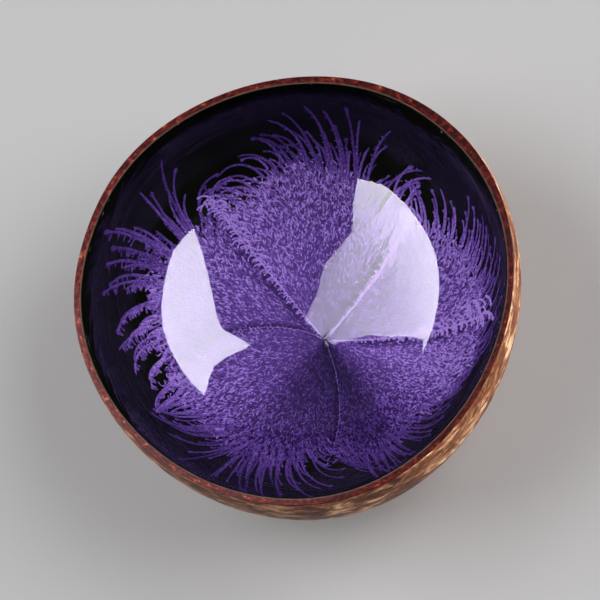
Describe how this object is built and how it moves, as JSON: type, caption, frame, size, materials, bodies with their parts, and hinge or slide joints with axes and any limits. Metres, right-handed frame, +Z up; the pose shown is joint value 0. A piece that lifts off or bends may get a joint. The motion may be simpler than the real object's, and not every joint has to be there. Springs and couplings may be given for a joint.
{
  "type": "lacquered coconut shell bowl",
  "caption": "Round bowl made from half a coconut shell, polished outside, with a thick clear lacquer over a poured-paint bloom inside; holds and mixes small amounts by hand.",
  "frame": {"origin": "middle of the small flat that the bowl stands on", "axes": "+Z up along the nut's axis, out of the open mouth; +X to the bowl's right and -Y to its front, with the left and back pours of the bloom on those sides"},
  "size_m": [0.1335, 0.1344, 0.0626],
  "materials": {
    "coconut_wood": "polished and waxed",
    "sealing_primer": "matt",
    "black_lacquer": "gloss",
    "purple_paint": "gloss",
    "clear_lacquer": "clear high gloss"
  },
  "bodies": {
    "root": {"coconut_shell": "coconut_wood", "primer_coat": "sealing_primer", "ground_coat": "black_lacquer", "paint_pour_back": "purple_paint", "paint_pour_left": "purple_paint", "paint_pour_front_left": "purple_paint", "paint_pour_front_right": "purple_paint", "paint_pour_right": "purple_paint", "clear_top_coat": "clear_lacquer"}
  },
  "joints": []
}
